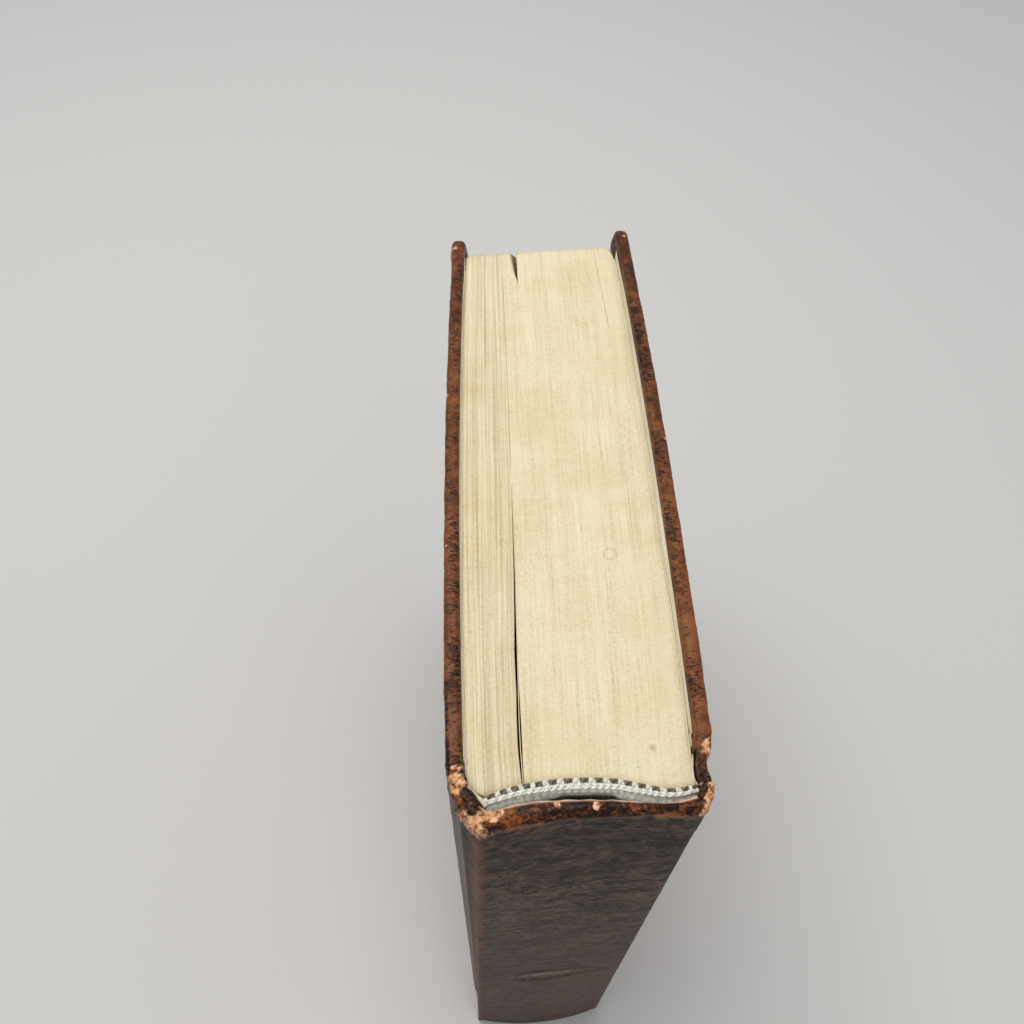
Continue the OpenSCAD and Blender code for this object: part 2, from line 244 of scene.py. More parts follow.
# %% Material of the cut paper
def cut_paper():
    made, tree, bsdf = new_material("trimmed_book_paper", Roughness=0.9, Specular_IOR_Level=0.3)
    leaf = add(tree, "UVMap", {"uv_map": "leaves"}).outputs["UV"]
    place = add(tree, "TexCoord").outputs["Object"]

    def streaks(wide, long, detail):
        stretched = add(tree, "Mapping", Vector=leaf, Scale=(1 / wide, 1 / long, 1)).outputs[0]
        return add(tree, "TexNoise", Vector=stretched, Scale=1.0, Detail=detail,
                   Roughness=0.6).outputs["Fac"]
    fine, broad = streaks(0.00032, 0.024, 3.0), streaks(0.0021, 0.07, 3.0)
    grain = add(tree, "TexNoise", Vector=place, Scale=1 / 0.0007, Detail=3.0).outputs["Fac"]
    cloud = add(tree, "TexNoise", Vector=place, Scale=1 / 0.016, Detail=5.0, Roughness=0.6).outputs["Fac"]
    streak = add(tree, "Mix", {"data_type": "FLOAT"}, in_0=0.36, in_2=fine, in_3=broad).outputs[0]
    mixed = add(tree, "Mix", {"data_type": "FLOAT"}, in_0=0.3, in_2=streak, in_3=grain).outputs[0]
    base = add(tree, "ValToRGB", Fac=mixed, stops=[
        (0.34, "#c8bc9c"), (0.43, "#ded4b6"), (0.52, "#e9dfc4"), (0.66, "#f2ead5")]).outputs[0]
    aged = add(tree, "ValToRGB", Fac=cloud, stops=[(0.36, "#f6eeda"), (0.56, "#fffdf6")]).outputs[0]
    toned = add(tree, "Mix", {"data_type": "RGBA", "blend_type": "MULTIPLY"}, in_0=0.75,
                in_6=base, in_7=aged).outputs[2]
    # Left of the crack the leaves stand in bundles at slightly different heights, and painted shade darkens
    # their ends in fine lines
    across = add(tree, "SeparateXYZ", Vector=place).outputs["X"]
    left = add(tree, "MapRange", Value=across, From_Min=-0.0128, From_Max=-0.0137, To_Max=0.5).outputs[0]
    lines = add(tree, "ValToRGB", Fac=streaks(0.0005, 0.09, 4.0), stops=[
        (0.36, "#c0b8a6"), (0.49, "#ece8e0"), (0.6, "#ffffff")]).outputs[0]
    toned = add(tree, "Mix", {"data_type": "RGBA", "blend_type": "MULTIPLY"}, in_0=left, in_6=toned,
                in_7=lines).outputs[2]
    # Foxing, the rust-brown specks of old paper, is thickest left of the crack
    side = add(tree, "MapRange", Value=across, From_Min=0.0, From_Max=-0.012, To_Max=0.05).outputs[0]
    many = add(tree, "Math", TIMES_PLUS, in_0=cloud, in_1=-0.16, in_2=side).outputs[0]
    held = add(tree, "Math", {"operation": "ADD"}, in_0=streaks(0.0005, 0.0018, 2.0), in_1=many).outputs[0]
    fox = add(tree, "ValToRGB", Fac=held, stops=[(0.62, 0.0), (0.72, 0.55)]).outputs[0]
    foxed = add(tree, "Mix", COLOURS, in_0=fox, in_6=toned, in_7=hexed("#b3935f")).outputs[2]
    # A faint ring, as a small drop of water leaves, and one rubbed spot
    for radius, at, tint, stops in (
            (0.004, (0.01197, 59.0), "#bfa673", [(0.3, 0.0), (0.39, 0.4), (0.46, 0.35), (0.53, 0.0)]),
            (0.002, (0.0167, 6.0), "#b39d72", [(0.2, 0.6), (0.6, 0.0)])):
        centre = (at[0], (at[1] + JOINT_Y) * MM, HEAD * MM)
        away = add(tree, "VectorMath", {"operation": "DISTANCE"}, in_0=place, in_1=centre).outputs["Value"]
        ring = add(tree, "ValToRGB", stops=stops,
                   Fac=add(tree, "MapRange", Value=away, From_Max=radius).outputs[0]).outputs[0]
        foxed = add(tree, "Mix", COLOURS, in_0=ring, in_6=foxed, in_7=hexed(tint)).outputs[2]
    # Where a leaf has parted from the next, and on the walls of the crack and the gap, painted shade makes a
    # dark line
    seam = add(tree, "Attribute", {"attribute_name": "seam"}).outputs["Fac"]
    seam_shaded = add(tree, "Mix", COLOURS, in_0=seam, in_6=foxed, in_7=hexed("#6d5a3c")).outputs[2]
    tree.links.new(seam_shaded, bsdf.inputs["Base Color"])
    bump = add(tree, "Bump", Height=mixed, Strength=0.4, Distance=0.0001)
    tree.links.new(bump.outputs[0], bsdf.inputs["Normal"])
    return made


PAPER_EDGE = cut_paper()

# %% [markdown]
# Endpapers are thicker wove paper, pasted down inside the covers. The free half lies loose against
# the pages, and its cut edge is a thin grey-white line beside the board. Its surface is matt, with the
# cloudy tone of settled fibres and a little browning.

# %% Material of the endpapers
def wove_paper():
    made, tree, bsdf = new_material("wove_endpaper", Roughness=0.9, IOR=1.45)
    place = add(tree, "TexCoord").outputs["Object"]
    cloud = add(tree, "TexNoise", Vector=place, Scale=1 / 0.04, Detail=4.0).outputs["Fac"]
    fibre = add(tree, "TexNoise", Vector=place, Scale=1 / 0.0006, Detail=2.0).outputs["Fac"]
    both = add(tree, "Mix", {"data_type": "FLOAT"}, in_0=0.3, in_2=cloud, in_3=fibre).outputs[0]
    tone = add(tree, "ValToRGB", Fac=both, stops=[
        (0.3, "#c9bc9c"), (0.5, "#ddd4bd"), (0.7, "#e9e3d2")]).outputs[0]
    tree.links.new(tone, bsdf.inputs["Base Color"])
    bump = add(tree, "Bump", Height=fibre, Strength=0.2, Distance=0.00005)
    tree.links.new(bump.outputs[0], bsdf.inputs["Normal"])
    return made


ENDPAPER = wove_paper()

# %% [markdown]
# The covering is vegetable-tanned calfskin, stained brown. The grain of calf is fine, with pores about
# 0.4 mm apart, drawn 0.5 mm apart so that they show. With age the stain has clotted into dark blotches
# and specks, and where hands and shelves rub it the surface wears through to pale tan. A vertex attribute
# called worn says where that is, and one called cap marks the glossier leather of the rolled headcap. The
# colours are laid one over the other, each where its own pattern lets it through.

# %% Material of the leather
def calfskin(name, tones, rough, wrinkle, cap_tones=None):
    made, tree, bsdf = new_material(name, IOR=1.48, Specular_IOR_Level=0.2)
    place = add(tree, "TexCoord").outputs["Object"]

    def mottle(size, detail=4.0, stretch=(1, 1, 1), rough_noise=0.62, distort=0.0):
        """A cloudy pattern of the hide, with its size in millimetres."""
        scaled = add(tree, "Mapping", Vector=place, Scale=[1 / (size * MM * s) for s in stretch]).outputs[0]
        return add(tree, "TexNoise", Vector=scaled, Scale=1.0, Detail=detail, Roughness=rough_noise,
                   Distortion=distort).outputs["Fac"]
    tint = add(tree, "Math", TIMES_PLUS, in_0=mottle(42, 3.0), in_1=0.6,
               in_2=mottle(3.4, 8.0, rough_noise=0.72))
    base = add(tree, "ValToRGB", Fac=tint.outputs[0], stops=[
        (0.66, tones[0]), (0.79, tones[1]), (0.93, tones[2])]).outputs[0]
    # Clotted stain: short dark strokes across the edge of the board, gathered into patches
    stroke = mottle(1.0, 4.0, (1.5, 0.5, 1.5), distort=0.7)
    # Besides stain, this attribute carries painted shade, which thickens the dark strokes in the joints,
    # folds and hollows
    stain = add(tree, "Attribute", {"attribute_name": "stain"}).outputs["Fac"]
    patchy = add(tree, "Math", TIMES_PLUS, in_0=mottle(7.0, 2.0), in_1=0.3, in_2=stroke).outputs[0]
    clot = add(tree, "Math", TIMES_PLUS, in_0=stain, in_1=0.24, in_2=patchy).outputs[0]
    dark = add(tree, "ValToRGB", Fac=clot, stops=[(0.745, 0.0), (0.82, 0.92)]).outputs[0]
    layers = [(dark, hexed(tones[3]))]
    relief, deep = stroke, 0.9
    if wrinkle:
        # Fine wrinkles run across the spine and fade towards the tail, where the skin is greyer
        folds = add(tree, "Math", TIMES_PLUS, in_0=mottle(1.0, 3.0, (9, 6, 3.4)), in_1=0.4,
                    in_2=mottle(1.0, 7.0, (2.2, 2.2, 0.8), 0.76, 0.5)).outputs[0]
        upper = add(tree, "MapRange", Value=add(tree, "SeparateXYZ", Vector=place).outputs["Z"],
                    From_Min=0.06, From_Max=0.2).outputs[0]
        fold = add(tree, "ValToRGB", Fac=folds, stops=[(0.655, 1.0), (0.735, 0.0)]).outputs[0]
        fading = add(tree, "MapRange", Value=upper, To_Min=0.35, To_Max=1.0).outputs[0]
        strength = add(tree, "Math", {"operation": "MULTIPLY"}, in_0=fold, in_1=fading).outputs[0]
        lower = add(tree, "MapRange", Value=upper, To_Min=0.6, To_Max=0.0).outputs[0]
        # A painted highlight warms the left ridge
        ridge_highlight = add(tree, "Attribute", {"attribute_name": "ridge_highlight"}).outputs["Fac"]
        # Painted sheen greys and lightens the dent
        dent_sheen = add(tree, "Attribute", {"attribute_name": "dent_sheen"}).outputs["Fac"]
        grey = add(tree, "ValToRGB", Fac=folds, stops=[(0.6, "#544c46"), (0.74, "#847b72")]).outputs[0]
        layers += [(lower, hexed("#5b504a")), (strength, hexed(tones[3])), (ridge_highlight, hexed("#7d5138")),
                   (dent_sheen, grey)]
        relief, deep = folds, 1.5
    if cap_tones:
        cap = add(tree, "Attribute", {"attribute_name": "cap"}).outputs["Fac"]
        fleck = add(tree, "Math", TIMES_PLUS, in_0=mottle(8.0, 1.0), in_1=0.5,
                    in_2=mottle(1.2, 7.0, (1.3, 1.0, 1.0), 0.72, 0.5)).outputs[0]
        flecked = add(tree, "ValToRGB", Fac=fleck, stops=[
            (0.69, cap_tones[0]), (0.77, cap_tones[1]), (0.88, cap_tones[2])]).outputs[0]
        # A painted highlight along the inner lip of the headcap
        lip = add(tree, "Attribute", {"attribute_name": "lip"}).outputs["Fac"]
        lipped = add(tree, "Mix", COLOURS, in_0=lip, in_6=flecked, in_7=hexed("#f0cbb6")).outputs[2]
        border = add(tree, "Math", TIMES_PLUS, in_0=stroke, in_1=0.5, in_2=cap).outputs[0]
        ragged = add(tree, "ValToRGB", Fac=border, stops=[(0.5, 0.0), (0.95, 1.0)]).outputs[0]
        layers.append((ragged, lipped))
    # Rubbed bare: ragged at its border, uneven inside
    worn = add(tree, "Attribute", {"attribute_name": "worn"}).outputs["Fac"]
    rub = mottle(1.4, 6.0, rough_noise=0.7, distort=0.4)
    wear_and_lip_highlight = add(tree, "Math", TIMES_PLUS, in_0=rub, in_1=1.3, in_2=worn).outputs[0]
    bare = add(tree, "MapRange", Value=wear_and_lip_highlight, From_Min=1.08, From_Max=1.34).outputs[0]
    tan = add(tree, "ValToRGB", Fac=rub, stops=[
        (0.4, "#8a5030"), (0.5, "#d39a6c"), (0.62, "#f1c8a2")]).outputs[0]
    colour = base
    for factor, top in layers + [(bare, tan)]:
        colour = add(tree, "Mix", COLOURS, in_0=factor, in_6=colour, in_7=top).outputs[2]
    tree.links.new(colour, bsdf.inputs["Base Color"])
    matt = add(tree, "MapRange", Value=bare, To_Min=rough, To_Max=0.75).outputs[0]
    if cap_tones:
        matt = add(tree, "Math", {**TIMES_PLUS, "use_clamp": True}, in_0=cap, in_1=-0.24,
                   in_2=matt).outputs[0]
    tree.links.new(matt, bsdf.inputs["Roughness"])
    height = add(tree, "Math", TIMES_PLUS, in_0=relief, in_1=deep, in_2=mottle(0.5, 3.0)).outputs[0]
    sunk = add(tree, "Math", {"operation": "SUBTRACT"}, in_0=height, in_1=dark).outputs[0]
    bump = add(tree, "Bump", Height=sunk, Strength=0.5, Distance=0.00016)
    tree.links.new(bump.outputs[0], bsdf.inputs["Normal"])
    return made


COVER_CALF = calfskin("stained_calf_cover", ("#45250f", "#6a3c20", "#86522e", "#1a0b05"), 0.34, False)
# The spine is the same leather as the covers; its darker tones are partly painted shade
SPINE_CALF = calfskin("calf_spine_with_painted_shade", ("#3f2d25", "#574438", "#6d5848", "#0e0704"), 0.55, True,
                      ("#140602", "#552a0f", "#8c5226"))

# %% [markdown]
# The rest are seen only in part. The band is stitched in white and in dark grey-brown cotton over a
# strip of cloth, and each thread has a twist. The torn leather ends in pale fibres. Under the
# leather lie grey millboard, brown lining paper and mull, an open starched cotton.

# %% Materials of threads, fibres and boards
def twisted_thread(name, low, high, step):
    made, tree, bsdf = new_material(name, Roughness=0.8)
    place = add(tree, "TexCoord").outputs["Object"]
    turns = add(tree, "Mapping", Vector=place, Rotation=(0.3, 0.4, 0.7), Scale=(1 / step,) * 3).outputs[0]
    twist = add(tree, "TexWave", Vector=turns, Scale=0.16, Distortion=2.5, Detail=2.0).outputs["Fac"]
    tone = add(tree, "ValToRGB", Fac=twist, stops=[(0.1, low), (0.8, high)]).outputs[0]
    tree.links.new(tone, bsdf.inputs["Base Color"])
    bump = add(tree, "Bump", Height=twist, Strength=0.5, Distance=0.0001)
    tree.links.new(bump.outputs[0], bsdf.inputs["Normal"])
    return made


def plain_fibre(name, low, high, size):
    made, tree, bsdf = new_material(name, Roughness=0.95)
    place = add(tree, "TexCoord").outputs["Object"]
    fleck = add(tree, "TexNoise", Vector=place, Scale=1 / size, Detail=5.0, Roughness=0.7).outputs["Fac"]
    tone = add(tree, "ValToRGB", Fac=fleck, stops=[(0.35, low), (0.65, high)]).outputs[0]
    tree.links.new(tone, bsdf.inputs["Base Color"])
    bump = add(tree, "Bump", Height=fleck, Strength=0.4, Distance=0.0001)
    tree.links.new(bump.outputs[0], bsdf.inputs["Normal"])
    return made


def mull_weave():
    """Open cotton, drawn with four threads to the centimetre each way, fewer than real mull has."""
    made, tree, bsdf = new_material("starched_mull", Roughness=0.9)
    place = add(tree, "TexCoord").outputs["Object"]
    warp = add(tree, "TexWave", {"bands_direction": "Y"}, Vector=place, Scale=1 / 0.0078, Distortion=0.4)
    weft = add(tree, "TexWave", {"bands_direction": "Z"}, Vector=place, Scale=1 / 0.0078, Distortion=0.4)
    cross = add(tree, "Math", {"operation": "MAXIMUM"}, in_0=warp.outputs["Fac"],
                in_1=weft.outputs["Fac"]).outputs[0]
    tone = add(tree, "ValToRGB", Fac=cross, stops=[(0.3, "#8f8568"), (0.8, "#d9d3c0")]).outputs[0]
    tree.links.new(tone, bsdf.inputs["Base Color"])
    bump = add(tree, "Bump", Height=cross, Strength=0.6, Distance=0.0002)
    tree.links.new(bump.outputs[0], bsdf.inputs["Normal"])
    return made


WHITE_THREAD = twisted_thread("white_cotton_thread", "#cfd0c8", "#f3f3ec", 0.0006)
DARK_THREAD = twisted_thread("grey_brown_cotton_thread", "#4a4038", "#7d7064", 0.0006)
BAND_CLOTH = plain_fibre("band_cloth", "#8f9386", "#dcddd2", 0.0011)
FIBRES = plain_fibre("torn_leather_fibres", "#b48a70", "#eed6c4", 0.002)
MILLBOARD = plain_fibre("grey_millboard", "#7d776c", "#99938a", 0.0012)
KRAFT = plain_fibre("brown_lining_paper", "#9c7f55", "#b99b6c", 0.0015)
MULL = mull_weave()

for name, finish in (("spine_lining", KRAFT), ("mull", MULL), ("front_mull_flap", MULL),
                     ("back_mull_flap", MULL), ("front_board", MILLBOARD), ("back_board", MILLBOARD),
                     ("tailband", BAND_CLOTH), ("front_pastedown", ENDPAPER), ("back_pastedown", ENDPAPER)):
    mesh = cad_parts[name].data
    mesh.materials.clear()
    mesh.materials.append(finish)

# %% [markdown]
# The pages could be a solid with lines painted on it, but the photo shows bundles of leaves at
# slightly different heights, and a crack that runs in from the spine with one leaf standing in it. So the
# block is a grid whose columns are the leaves. It is extruded upwards in steps, and from the bottom of the
# crack on, the columns in the crack stay behind, which opens it. Then one pass bends the grid to its
# true outline.

# %% Outline of the pages
LEFT_N, BETWEEN_N, RIGHT_N = 60, 22, 168
CRACK = LEFT_N
GAP = CRACK + 3 + BETWEEN_N
COLUMNS = GAP + 1 + RIGHT_N
ROWS = 88
LEAF_T = 0.18
# Width of a column on the UV map, where the pages start, how deep they are, and the radius of their bow
COLUMN_T = 0.205
PAGE_Y, PAGE_D = -3, 187
PAGE_BOW_R = 3219
CRACK_LINE = ((-4, 6.3, 13.2, 20.5, 30.5, 41, 52, 70, 95, 136, 175, 190),
              (-12.8, -13.2, -13.28, -13.2, -13.1, -13.02, -12.91, -12.88, -12.98, -13.05, -13.37, -13.5))
CRACK_AT = (-4, 3, 7, 13, 20, 24, 30, 40, 55, 72, 84)
CRACK_LEFT = (0.18, 0.42, 0.5, 0.46, 0.38, 0.5, 0.62, 0.4, 0.26, 0.12, 0.02)
CRACK_RIGHT = (0.12, 0.2, 0.36, 0.34, 0.16, 0.05, 0.03, 0.02, 0.02, 0.02, 0.02)
GAP_WIDTH = ((165, 168, 171, 174, 178.5, 183), (0.02, 0.06, 0.7, 1.4, 2.0, 2.4))
# The backs of the leaves at the head, drawn into a wave by the stitching of the band
BACK_LINE = ((-27, -25, -24, -22.8, -21, -19.9, -16.1, -13.6, -9.9, -6.5, -3.5, 2.7, 5.7, 8.6, 11.8, 14.5,
              17.4, 20.9, 24.8, 26),
             (-1.0, -2.0, -2.6, -3.5, -4.3, -4.2, -3.2, -2.5, -2.0, -1.6, -1.2, -1.2, -1.4, -1.7, -2.5, -3.0,
              -3.6, -3.7, -3.1, -2.4))
# Parted leaves: column at the start and at the end, from y to y, and how strong
SEAMS = [(19, 19, 40, 176, 0.35), (31, 31, 92, 184, 0.3), (40, 41, 60, 150, 0.3), (46, 46, 18, 186, 0.35),
         (57, 57, 8, 130, 0.35), (CRACK + 1, CRACK + 1, 82, 172, 0.75), (225, 218, 143, 187, 0.75),
         (245, 246, 90, 187, 0.35), (249, 250, 60, 187, 0.5), (252, 253, -2, 186, 0.6),
         (243, 241, -3, 0.6, 0.7), (150, 150, 60, 168, 0.12), (190, 189, 20, 120, 0.12)]


def page_left(y, z):
    """The side at the back cover, a shallow arc: it falls back by the square over twice the radius."""
    return -26.55 + (y + COCK - BOW_Y) ** 2 / (2 * PAGE_BOW_R) + lean_in(z)


def page_right(y):
    t = np.clip((y - NEAR) / 173, 0.0, 1.0)
    return 25.1 + 3.6 * t * (1 - t / 1.06)


def page_front(x):
    worn = 9.5 * np.clip((x - 22.6) / 2.6, 0, None) ** 1.7 + 1.5 * np.clip((-23.5 - x) / 2.0, 0, None) ** 1.6
    return COVER_D - 5.6 + COCK * x / (2 * HALF_T) - worn


def page_back(x, z):
    spun_back = np.maximum(BACK_Y + np.sqrt(BACK_R ** 2 - (x - BACK_X) ** 2), -6.55 + 0.795 * (-20.95 - x))
    return spun_back + (np.interp(x, *BACK_LINE) - spun_back) * ease((z - 196) / 26)


def page_x(i, y, z):
    """Place across the thickness of each edge between leaves."""
    lo, hi = page_left(y, z), page_right(y)
    deep = ease((z - 160) / 30)
    middle = np.interp(y, *CRACK_LINE) + 0.76 * lean_in(z)
    before = middle - LEAF_T / 2 - np.maximum(0.02, np.interp(y, CRACK_AT, CRACK_LEFT) * deep)
    after = middle + LEAF_T / 2 + np.maximum(0.02, np.interp(y, CRACK_AT, CRACK_RIGHT) * deep)
    # The gap at the fore-edge is a slit below, and flares at the head as its left leaves bend away
    flare = 0.08 * ease((z - 150) / 30) + 0.92 * np.clip((z - 229.5) / 2, 0, 1)
    gap_right = -8.1 + 0.66 * lean_in(z) - 0.3 * ease((y - 120) / 50)
    gap_left = gap_right - np.maximum(0.02, np.interp(y, *GAP_WIDTH) * flare)
    return np.select(
        [i <= CRACK, i == CRACK + 1, i == CRACK + 2, i <= GAP],
        [lo + (before - lo) * i / CRACK, middle - LEAF_T / 2, middle + LEAF_T / 2,
         after + (gap_left - after) * (i - CRACK - 3) / BETWEEN_N],
        gap_right + (hi - gap_right) * (i - GAP - 1) / RIGHT_N)


# %% Build the pages
def raise_pages():
    """The flat grid, raised to the head in three steps that leave the crack and the gap behind."""
    bm = flat_grid(COLUMNS, ROWS)
    bmesh.ops.translate(bm, vec=(0.5, 0.5, TAIL), verts=bm.verts)
    rising, at = list(bm.faces), TAIL
    for level, first, last, y0, y1 in ((151.5, GAP, GAP, 168, 200), (161.5, CRACK, CRACK + 2, -20, 82),
                                       (HEAD, 0, -1, 0, 0)):
        raised = bmesh.ops.extrude_face_region(bm, geom=rising)["geom"]
        bmesh.ops.translate(bm, vec=(0, 0, level - at),
                            verts=[g for g in raised if isinstance(g, bmesh.types.BMVert)])
        if at > TAIL:
            bmesh.ops.delete(bm, geom=[f for f in rising if f.is_valid], context="FACES")
        rising = []
        for f in (g for g in raised if isinstance(g, bmesh.types.BMFace)):
            u, v = f.calc_center_median().xy
            slot = first <= int(u * COLUMNS) <= last and y0 < PAGE_Y + PAGE_D * v < y1
            if not slot or int(u * COLUMNS) == CRACK + 1:
                rising.append(f)
        at = level
    for level in (70, 120, 190, 204, 213, 220, 226.5, 228, 229.5, 230.6):
        bmesh.ops.bisect_plane(bm, geom=list(bm.verts) + list(bm.edges) + list(bm.faces), dist=1e-5,
                               plane_co=(0, 0, level), plane_no=(0, 0, 1))
    return bm


def build_pages():
    bm = raise_pages()
    flat = np.array([v.co[:] for v in bm.verts])
    i, t, z = np.rint(flat[:, 0] * COLUMNS), flat[:, 1], flat[:, 2]
    y = PAGE_Y + PAGE_D * t
    for _ in range(4):
        x = page_x(i, y, z)
        y = page_back(x, z) + (page_front(x) - page_back(x, z)) * t
    x = page_x(i, y, z)
    parted = np.zeros(len(flat))
    for c0, c1, y0, y1, strength in SEAMS:
        s = np.clip((y - y0) / (y1 - y0), 0, 1)
        ends = ease((y - y0) / 8) * ease((y1 - y) / 8)
        parted = np.maximum(parted, strength * ends * np.clip(1 - abs(i - c0 - (c1 - c0) * s) / 0.9, 0, 1))
    uv, seam = bm.loops.layers.uv.new("leaves"), bm.verts.layers.float.new("seam")
    leaves = {}
    for v, c, px, py, pz, pt, line in zip(bm.verts, i, x, y, z, t, parted):
        leaf = c * COLUMN_T
        leaves[v] = (leaf * MM, (py + pz) * MM)
        if pz > HEAD - 0.01:
            section = 0.13 * wave(round(c / 7) * 1.7, py / 90) if c <= CRACK else 0.03 * wave(c / 9, py / 60)
            pz += section + 0.05 * wave(leaf / 2.3, py / 70) + 0.03 * wave(leaf * 1.3, py / 45, 3)
            pz += 0.025 * wave(px / 1.5, py / 2.2, 7) - 0.35 * line - 0.1 * smooth((0.6 - pt * PAGE_D) / 0.6)
            # Where leaves have parted, painted shade makes a dark line
            v[seam] = line * (0.75 + 0.5 * wave(py / 9, c))
        elif pt > 0.02 and c in (CRACK, CRACK + 1, CRACK + 2, CRACK + 3, GAP, GAP + 1):
            # The walls of the crack and the gap below the head take painted shade
            v[seam] = 0.85
        if pt > 0.999:
            py += 0.16 * wave(leaf / 2.1, pz / 60, 5) + 0.07 * wave(leaf / 0.6, pz / 40, 9)
        v.co = (px, py, pz)
    for f in bm.faces:
        for loop in f.loops:
            loop[uv].uv = leaves[loop.vert]
    return to_object(bm, "page_block", PAPER_EDGE)


pages = build_pages()
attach(pages, "book_block")
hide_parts("text_block")

# %% [markdown]
# The free endpapers are thin sheets. Two loose leaves stand beside the pages at the front cover and one
# at the back, and each bends a little on its own, so thin dark lines show between them. A grid is bent to
# the inside of the cover and a Solidify modifier gives it the thickness of its paper.

# %% Build the loose leaves
def build_leaf(name, offset, thick, back, seed):
    bm = flat_grid(90, 24)
    for v in bm.verts:
        y = NEAR + 3.2 + (v.co.x + 0.5) * 180.6
        z = 3.6 + (v.co.y + 0.5) * 227.8
        ang = (y - BOW_Y) / BOW_R
        sway = (0.03 if back else 0.07) * wave(y / 16, z / 60, seed) * smooth((y - 3) / 10)
        r = BOW_R - COVER_T + offset + sway - 0.6 * smooth((30 - y) / 30) * (not back)
        # The head edge wanders a little, and near the fore-edge the sheet hangs lower
        wander = 0.3 * wave(y / 9, seed) + (0.6 if back else -0.5 * (offset > -0.5))
        lift = wander * smooth((z - 215) / 16) - 3 * smooth((y - 178) / 6)
        p = (BOW_X + r * math.cos(ang), BOW_Y + r * math.sin(ang), z + lift)
        v.co = leaned(*p) if back else p
    piece = to_object(bm, name, ENDPAPER)
    add_skin(piece, thick)
    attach(piece, "book_block")
    return piece


front_leaf = build_leaf("front_free_endpaper", -0.32, 0.16, False, 2.0)
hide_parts("front_flyleaf")
build_leaf("front_loose_leaf", -1.0, 0.1, False, 5.0)
back_leaf = build_leaf("back_free_endpaper", -0.27, 0.34, True, 8.0)
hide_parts("back_flyleaf")

# %% [markdown]
# The band at the head is sewn over a cord that lies along the back edge of the pages. Groups of dark
# thread wrap the cord, white ties cross between them, and a white plait covers its outer side. The
# cord is a grid rolled to a tube along a line measured from the photo, and the cloth that carries it is
# another. Each stitch is a drawn-out sphere with few faces, because there are many.

# %% Line of the band
# Places along the band: x and y of the dark stitches, and the radius of the cord there
BAND = [(-21.4, -5.4, 1.2), (-18.6, -4.4, 1.5), (-16.1, -3.65, 1.65), (-13.6, -2.97, 1.8),
        (-11.0, -2.6, 1.85), (-8.2, -2.2, 1.9), (-5.0, -1.8, 2.0), (-1.5, -1.68, 2.0), (2.0, -1.68, 2.0),
        (5.2, -1.82, 2.0), (8.4, -2.15, 1.9), (11.4, -2.85, 1.8), (14.4, -3.45, 1.65), (17.4, -4.1, 1.45),
        (20.9, -4.25, 1.2), (23.6, -3.75, 1.1), (25.4, -3.4, 0.9)]
BAND_Z = 231.3


def band_point(t, turn, lift=0.0):
    """A point on the cord: t from 0 to 1 along it, turn in degrees round it from the pages over the top."""
    t = min(max(t, 0.0), 1.0)
    x, y, r = along(BAND, t)
    x0, y0, _ = along(BAND, t - 0.01)
    x1, y1, _ = along(BAND, t + 0.01)
    size = math.hypot(x1 - x0, y1 - y0)
    nx, ny = -(y1 - y0) / size, (x1 - x0) / size
    out = min((r + lift) * math.cos(math.radians(turn)) - 0.31 * r, 0.5)
    high = (0.35 + 0.6 * r + lift) * math.sin(math.radians(turn))
    return Vector((x + nx * out, y + ny * out, BAND_Z + high))


def add_stitch(bm, p, q, wide, flat=0.75):
    """A stitch from p to q, with its width, and its height as a share of that."""
    middle, axis = (p + q) / 2, q - p
    side = axis.cross(Vector((0, 0, 1))).normalized()
    turn = Matrix((axis.normalized(), side, side.cross(axis).normalized())).transposed().to_4x4()
    size = Matrix.Diagonal((axis.length / 2, wide / 2, wide * flat / 2, 1))
    bmesh.ops.create_uvsphere(bm, u_segments=8, v_segments=6, radius=1,
                              matrix=Matrix.Translation(middle) @ turn @ size)


# %% Build the band
bm = flat_grid(120, 14)
for v in bm.verts:
    v.co = band_point(v.co.x + 0.5, (v.co.y + 0.5) * 360)
bmesh.ops.remove_doubles(bm, verts=bm.verts, dist=0.001)
bmesh.ops.holes_fill(bm, edges=[e for e in bm.edges if e.is_boundary], sides=20)
band = to_object(bm, "band_cord", WHITE_THREAD)
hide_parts("headband")

bm = flat_grid(160, 20)
for v in bm.verts:
    t, down = v.co.x + 0.5, (v.co.y + 0.5) ** 2
    p = band_point(t, 126, 0.0)
    # Left and right it lies against the headcap, and it stands clear in the middle
    clear = smooth((t - 0.2) / 0.05) * (0.35 + 0.65 * smooth((t - 0.34) / 0.06)) * smooth((0.64 - t) / 0.05)
    weave = 0.06 * math.sin(t * 330) + 0.14 * wave(t * 12, down * 3)
    out = weave + 0.95 + 0.85 * (1 - clear)
    v.co = (p.x, p.y - out * smooth(down * 9), p.z - 0.1 - 11 * down)
cloth = to_object(bm, "band_cloth", BAND_CLOTH)
add_skin(cloth, 0.25)

DASHES = 16
